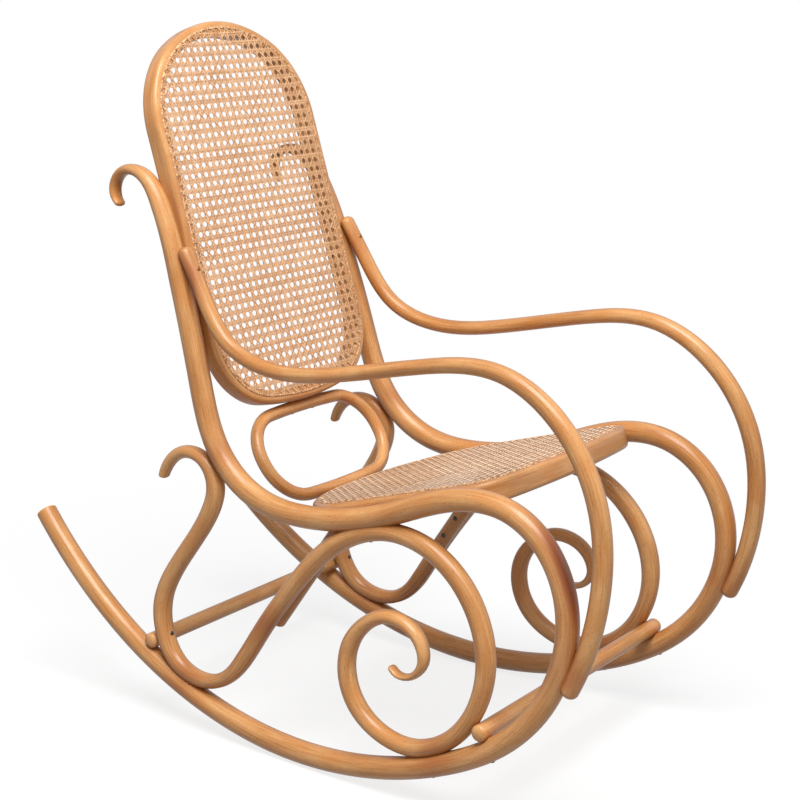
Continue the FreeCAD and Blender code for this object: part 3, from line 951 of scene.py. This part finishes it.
def beech():
    """Honey coloured beech under a satin varnish, its grain following the bent piece."""
    if "honey_beech" in bpy.data.materials:
        return bpy.data.materials["honey_beech"]
    settings = bpy.context.scene.rocker_wood
    material, tree, output = new_material("honey_beech")
    grain = fibres_at(tree, "grain_place", *WOOD_FIBRES)
    fine = grain["Fine"]
    tone = carried_by(tree, "tone")
    depth = weighted(tree, (grain["Broad"], BROAD_DEPTH), (fine, FINE_DEPTH), (tone, TONE_DEPTH))
    colour = mixed(tree, span(tree, depth, *DEPTH_RANGE), settings.light, settings.deep)
    colour = mixed(tree, product(tree, grain["Patch"], PATCH_SHARE), colour, settings.amber)
    colour = mixed(tree, product(tree, grain["Fleck"], FLECK_SHARE), colour, settings.fleck)
    # Darker, redder varnish at the joints, with painted shade where the parts meet
    patchy = scaled(tree, grain["Broad"], *STAIN_AND_SHADE_PATCHES)
    colour = mixed(tree, product(tree, carried_by(tree, "stain"), patchy), colour, settings.stain)
    # Dark side of a rod: rubbed dark on the front loop, painted shadow of the post on the armrest
    worn = carried_by(tree, "worn", "Vector")
    reach = vector_math(tree, "DOT_PRODUCT", worn, carried_by(tree, "grain_place", "Vector"))
    for (start, finish), shade in ((STAINED_AND_SHADED_FROM_TO, settings.stain), (WORN_AND_SHADED_FROM_TO, settings.worn)):
        colour = mixed(tree, span(tree, reach, MAIN_ROD * start, MAIN_ROD * finish), colour, shade)
    # Painted shade and dark reflection where the wood turns away from the view
    facing = add(tree, "ShaderNodeLayerWeight", {"Blend": 0.5}).outputs["Facing"]
    edge_shade_share = product(tree, maths(tree, "POWER", facing, EDGE_SHADE_POWER), EDGE_SHADE_SHARE)
    colour = mixed(tree, edge_shade_share, colour, settings.edge)
    colour = mixed(tree, carried_by(tree, "bare"), colour, settings.sawn)
    shaded(tree, output, {
        "Base Color": colour,
        "Roughness": scaled(tree, fine, *WOOD_ROUGH),
        "Normal": relief(tree, fine, *WOOD_RELIEF),
        "Specular IOR Level": 0.25,
        "Coat Weight": settings.varnish,
        "Coat Roughness": 0.26,
        "Coat IOR": 1.75,
    })
    return material


def cane(name, pale):
    """Pale glossy cane strands, each of its own shade, with painted shade along their sloped sides."""
    material, tree, output = new_material(name)
    fine = fibres_at(tree, "strand_place", *CANE_FIBRES)["Fine"]
    place = carried_by(tree, "strand_place", "Vector")
    tint = add(tree, "ShaderNodeSeparateXYZ", {0: place}).outputs[1]
    shade = weighted(tree, (tint, TINT_DEPTH), (fine, CANE_DEPTH))
    deep, dark = (
        [channel * share for channel, share in zip(pale, shares)] for shares in (CANE_DEEP, CANE_RIM_SHADE)
    )
    colour = mixed(tree, span(tree, shade, *CANE_RANGE), pale, deep)
    # Painted shade along each strand's sloped sides, where the strands overlap
    rim = maths(tree, "ABSOLUTE", carried_by(tree, "rim"))
    colour = mixed(tree, span(tree, rim, *RIM_SHADE_RANGE), colour, dark)
    shaded(tree, output, {"Base Color": colour, "Roughness": scaled(tree, fine, *CANE_ROUGH)})
    return material


def reed():
    """The reed strip that holds the cane, speckled by the strand ends pressed under it."""
    material, tree, output = new_material("reed_strip")
    fine = fibres_at(tree, "grain_place", *REED_FIBRES)["Fine"]
    speckle = span(tree, fine, *REED_RANGE)
    shaded(tree, output, {
        "Base Color": mixed(tree, speckle, REED_PALE, REED_DARK),
        "Roughness": scaled(tree, speckle, *REED_ROUGH),
        "Normal": relief(tree, speckle, *REED_RELIEF),
    })
    return material


def steel(name, pale, dark):
    """Aged steel of the screw heads."""
    material, tree, output = new_material(name)
    spots = noise(tree, add(tree, "ShaderNodeTexCoord").outputs["Object"], STEEL_SPOTS)
    colour = mixed(tree, spots, pale, dark)
    roughness = scaled(tree, spots, *STEEL_ROUGH)
    shaded(tree, output, {"Base Color": colour, "Roughness": roughness, "Metallic": 0.85})
    return material


class ROCKER_OT_main_rods(bpy.types.Operator):
    """Makes the two long rods of hook, post, seat rail, front loop and rocker"""

    bl_idname = "rocker.main_rods"
    bl_label = "Main rods"

    def execute(self, context):
        both_hands("main_rod", MAIN_POINTS, MAIN_ROD, THIN_END, SAWN_END, LOOP_WEAR)
        return {"FINISHED"}


class ROCKER_OT_armrests(bpy.types.Operator):
    """Makes the two armrests"""

    bl_idname = "rocker.armrests"
    bl_label = "Armrests"

    def execute(self, context):
        both_hands("armrest", ARM_POINTS, ARM_ROD, ROUND_END, ROUND_END, ARM_WEAR_AND_SHADE)
        return {"FINISHED"}


class ROCKER_OT_scrolls(bpy.types.Operator):
    """Makes the two scrolls under the seat"""

    bl_idname = "rocker.scrolls"
    bl_label = "Scrolls"

    def execute(self, context):
        both_hands("scroll", SCROLL_POINTS, SCROLL_ROD, THIN_END, THIN_END)
        return {"FINISHED"}


class ROCKER_OT_seat_braces(bpy.types.Operator):
    """Makes the two short straight rods beside the scrolls"""

    bl_idname = "rocker.seat_braces"
    bl_label = "Seat braces"

    def execute(self, context):
        for side, hand in HANDS.items():
            start = side_point(*BRACE_LOW, BRACE_INSET)
            finish = side_point(*BRACE_HIGH, BRACE_INSET)
            start.x *= hand
            finish.x *= hand
            name = "straight_brace_" + side
            path = bar_path(name, start, finish, BRACE)
            bent_piece(name, path, side_normal(hand), TONES["seat_brace"], "seat_brace_" + side)
        return {"FINISHED"}


class ROCKER_OT_stretchers(bpy.types.Operator):
    """Makes the two round bars across the chair"""

    bl_idname = "rocker.stretchers"
    bl_label = "Stretchers"

    def execute(self, context):
        for node, (y, z, half) in STRETCHERS.items():
            name = "turned_" + node
            start, finish = (Vector((x, y, z)) + SHIFT for x in (-half, half))
            path = bar_path(name, start, finish, STRETCHER)
            bent_piece(name, path, (0, 0, 1), TONES["stretcher"], node)
        return {"FINISHED"}


class ROCKER_OT_oval_ring(bpy.types.Operator):
    """Makes the oval ring under the back"""

    bl_idname = "rocker.oval_ring"
    bl_label = "Oval ring"

    def execute(self, context):
        rows = outline(OVAL_HOOP)
        places = [hoop_place(OVAL_HOOP, x, slope, 0) for x, slope, _, _ in rows]
        size = np.full(len(rows), OVAL_ROD)
        along = distances_along(rows[:, :2])
        name = "bent_oval_ring"
        path = path_mesh(name, places, True, thickness=size, width=size, along=along)
        turn = math.radians(OVAL_HOOP["turn"])
        across = (0, -math.sin(turn), math.cos(turn))
        bent_piece(name, path, across, TONES["oval_ring"], "oval_ring")
        return {"FINISHED"}


class ROCKER_OT_frames(bpy.types.Operator):
    """Makes the back hoop and the seat ring"""

    bl_idname = "rocker.frames"
    bl_label = "Back hoop and seat ring"

    def execute(self, context):
        for name, hoop, node in (
            ("bent_back_hoop", BACK_HOOP, "back_frame"),
            ("bent_seat_ring", SEAT_HOOP, "seat_frame"),
        ):
            section = rounded_section(hoop["wall"], EDGE_ROUND, INNER_ROUND, -hoop["depth"], 0)
            mesh = band_mesh(name, hoop, section, TONES[node], beech())
            piece(name, mesh, "bent_wood", node)
        return {"FINISHED"}


class ROCKER_OT_cane_panels(bpy.types.Operator):
    """Weaves the cane of the back and of the seat"""

    bl_idname = "rocker.cane_panels"
    bl_label = "Cane panels"

    def execute(self, context):
        settings = context.scene.rocker_cane
        back = cane("pale_cane", settings.colour)
        cane_panel("woven_back", BACK_HOOP, settings.strand, back, "back_cane")
        # The seat's cane is painted lighter, as painted light on its upward face
        seat = cane("painted_light_seat_cane", settings.painted_light_seat_colour)
        cane_panel("woven_seat", SEAT_HOOP, settings.seat_strand, seat, "seat_cane")
        return {"FINISHED"}


class ROCKER_OT_strips(bpy.types.Operator):
    """Makes the reed strips that hold the cane in its grooves"""

    bl_idname = "rocker.strips"
    bl_label = "Cane strips"

    def execute(self, context):
        crown = STRIP_WIDTH * STRIP_CROWN
        flat = rounded_section(STRIP_WIDTH, crown, crown, -STRIP_DEPTH, STRIP_PROUD)
        section = [(GROOVE_INSET + across, up) for across, up in flat]
        material = reed()
        for panel, hoop in (("back", BACK_HOOP), ("seat", SEAT_HOOP)):
            name = "reed_" + panel + "_strip"
            mesh = band_mesh(name, hoop, section, TONES["strip"], material)
            piece(name, mesh, "cane_spline", panel + "_spline")
        return {"FINISHED"}


class ROCKER_OT_screws(bpy.types.Operator):
    """Gives the screws dark steel heads, lacquered brown at the arms, the back and the oval ring"""

    bl_idname = "rocker.screws"
    bl_label = "Screws"

    def execute(self, context):
        bare = steel("dark_steel", *BARE_HEAD)
        brown = steel("lacquered_steel", *BROWN_HEAD)
        for name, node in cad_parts.items():
            if name.endswith("_screws"):
                node.data.materials.clear()
                node.data.materials.append(brown if name in LACQUERED else bare)
        return {"FINISHED"}


def floor_material():
    """A pale floor that keeps the chair's shadow and fades to the white behind it."""
    settings = bpy.context.scene.rocker_stage
    material, tree, output = new_material("pale_floor")
    place = add(tree, "ShaderNodeTexCoord").outputs["Object"]
    dim = [channel * FLOOR_DIM for channel in settings.floor]
    colour = mixed(tree, noise(tree, place, FLOOR_GRAIN), settings.floor, dim)
    rays = add(tree, "ShaderNodeLightPath").outputs
    bounced = mixed(tree, rays["Is Camera Ray"], (settings.bounce,) * 3, colour)
    matt = first(tree, "ShaderNodeBsdfDiffuse", {"Color": bounced})
    white = first(tree, "ShaderNodeEmission", {"Color": (1, 1, 1, 1), "Strength": 1.0})
    away = add(tree, "ShaderNodeVectorMath", {0: place}, operation="LENGTH").outputs["Value"]
    fade = span(tree, away, *FLOOR_FADE, settings.white, 1.0, interpolation_type="SMOOTHSTEP")
    seen = sum_of(tree, rays["Is Camera Ray"], rays["Is Glossy Ray"])
    share = product(tree, fade, seen)
    surface = first(tree, "ShaderNodeMixShader", {0: share, 1: matt, 2: white})
    tree.links.new(surface, output.inputs["Surface"])
    return material


def floor_mesh(reach):
    """A round floor of rings of faces about the chair."""
    rings = FLOOR_RINGS
    sides = FLOOR_SIDES
    turns = [2 * math.pi * j / sides for j in range(sides)]
    vertices = [(0.0, 0.0, 0.0)]
    for k in range(1, rings + 1):
        radius = reach * k / rings
        vertices += [(radius * math.cos(turn), radius * math.sin(turn), 0.0) for turn in turns]
    faces = [(0, 1 + j, 1 + (j + 1) % sides) for j in range(sides)]
    for k in range(rings - 1):
        inner = 1 + k * sides
        outer = inner + sides
        for j in range(sides):
            ahead = (j + 1) % sides
            faces.append((inner + j, outer + j, outer + ahead, inner + ahead))
    mesh = bpy.data.meshes.new("floor")
    mesh.from_pydata(vertices, [], faces)
    return mesh


def aimed(thing, place, target):
    """Stands a lamp or camera at a place, looking at a target."""
    thing.location = place
    thing.rotation_euler = (Vector(target) - Vector(place)).to_track_quat("-Z", "Y").to_euler()
    bpy.context.scene.collection.objects.link(thing)


def lamp(name, place, power):
    """A large round lamp that lights the chair."""
    light = bpy.data.lights.new(name, "AREA")
    light.shape = "DISK"
    light.size = LAMP_SIZE
    light.energy = power
    aimed(bpy.data.objects.new(name, light), place, LAMP_AIM)


def studio_world(sky):
    """Even light from all round, and plain white where the camera or a reflection sees past the floor."""
    world = bpy.data.worlds.new("studio")
    world.use_nodes = True
    tree = world.node_tree
    tree.nodes.clear()
    output = tree.nodes.new("ShaderNodeOutputWorld")
    even, white = (
        first(tree, "ShaderNodeBackground", {"Color": (1, 1, 1, 1), "Strength": strength})
        for strength in (sky, 1.0)
    )
    rays = add(tree, "ShaderNodeLightPath").outputs
    clear = sum_of(tree, rays["Is Camera Ray"], rays["Is Transmission Ray"])
    clear = sum_of(tree, clear, rays["Is Glossy Ray"])
    surface = first(tree, "ShaderNodeMixShader", {0: clear, 1: even, 2: white})
    tree.links.new(surface, output.inputs["Surface"])
    bpy.context.scene.world = world


class ROCKER_OT_stage(bpy.types.Operator):
    """Makes the floor, the light and the camera"""

    bl_idname = "rocker.stage"
    bl_label = "Stage"

    def execute(self, context):
        scene = context.scene
        settings = scene.rocker_stage
        floor = bpy.data.objects.new("floor", floor_mesh(settings.floor_reach))
        floor.data.materials.append(floor_material())
        scene.collection.objects.link(floor)
        studio_world(settings.sky)
        lamp("key", KEY_AT, settings.key_power)
        lamp("fill", FILL_AT, settings.fill_power)
        view = bpy.data.cameras.new("view")
        view.lens = CAMERA_LENS
        view.sensor_width = CAMERA_SENSOR
        view.clip_end = CAMERA_CLIP
        camera = bpy.data.objects.new("view", view)
        place = Vector(CAMERA_AT) + SHIFT
        aimed(camera, place, place + Vector(CAMERA_AIM))
        scene.camera = camera
        scene.view_settings.view_transform = "Standard"
        return {"FINISHED"}


STEPS = (
    ROCKER_OT_stage,
    ROCKER_OT_main_rods,
    ROCKER_OT_armrests,
    ROCKER_OT_scrolls,
    ROCKER_OT_seat_braces,
    ROCKER_OT_stretchers,
    ROCKER_OT_oval_ring,
    ROCKER_OT_frames,
    ROCKER_OT_cane_panels,
    ROCKER_OT_strips,
    ROCKER_OT_screws,
)


class ROCKER_PT_panel(bpy.types.Panel):
    """Lists the steps that build the chair"""

    bl_idname = "ROCKER_PT_panel"
    bl_label = "Rocking Chair"
    bl_space_type = "VIEW_3D"
    bl_region_type = "UI"
    bl_category = "Rocking Chair"

    def draw(self, context):
        scene = context.scene
        for settings in (scene.rocker_wood, scene.rocker_cane, scene.rocker_stage):
            box = self.layout.box()
            for name in settings.__annotations__:
                box.prop(settings, name)
        for step in STEPS:
            self.layout.operator(step.bl_idname)


SETTINGS = {"rocker_wood": WoodSettings, "rocker_cane": CaneSettings, "rocker_stage": StageSettings}


def register():
    for cls in (*SETTINGS.values(), *STEPS, ROCKER_PT_panel):
        bpy.utils.register_class(cls)
    for name, cls in SETTINGS.items():
        setattr(bpy.types.Scene, name, PointerProperty(type=cls))


def unregister():
    for name in SETTINGS:
        delattr(bpy.types.Scene, name)
    for cls in (ROCKER_PT_panel, *reversed(STEPS), *SETTINGS.values()):
        bpy.utils.unregister_class(cls)


def main():
    register()
    for step in STEPS:
        group, name = step.bl_idname.split(".")
        getattr(getattr(bpy.ops, group), name)()


if __name__ == "__main__":
    main()
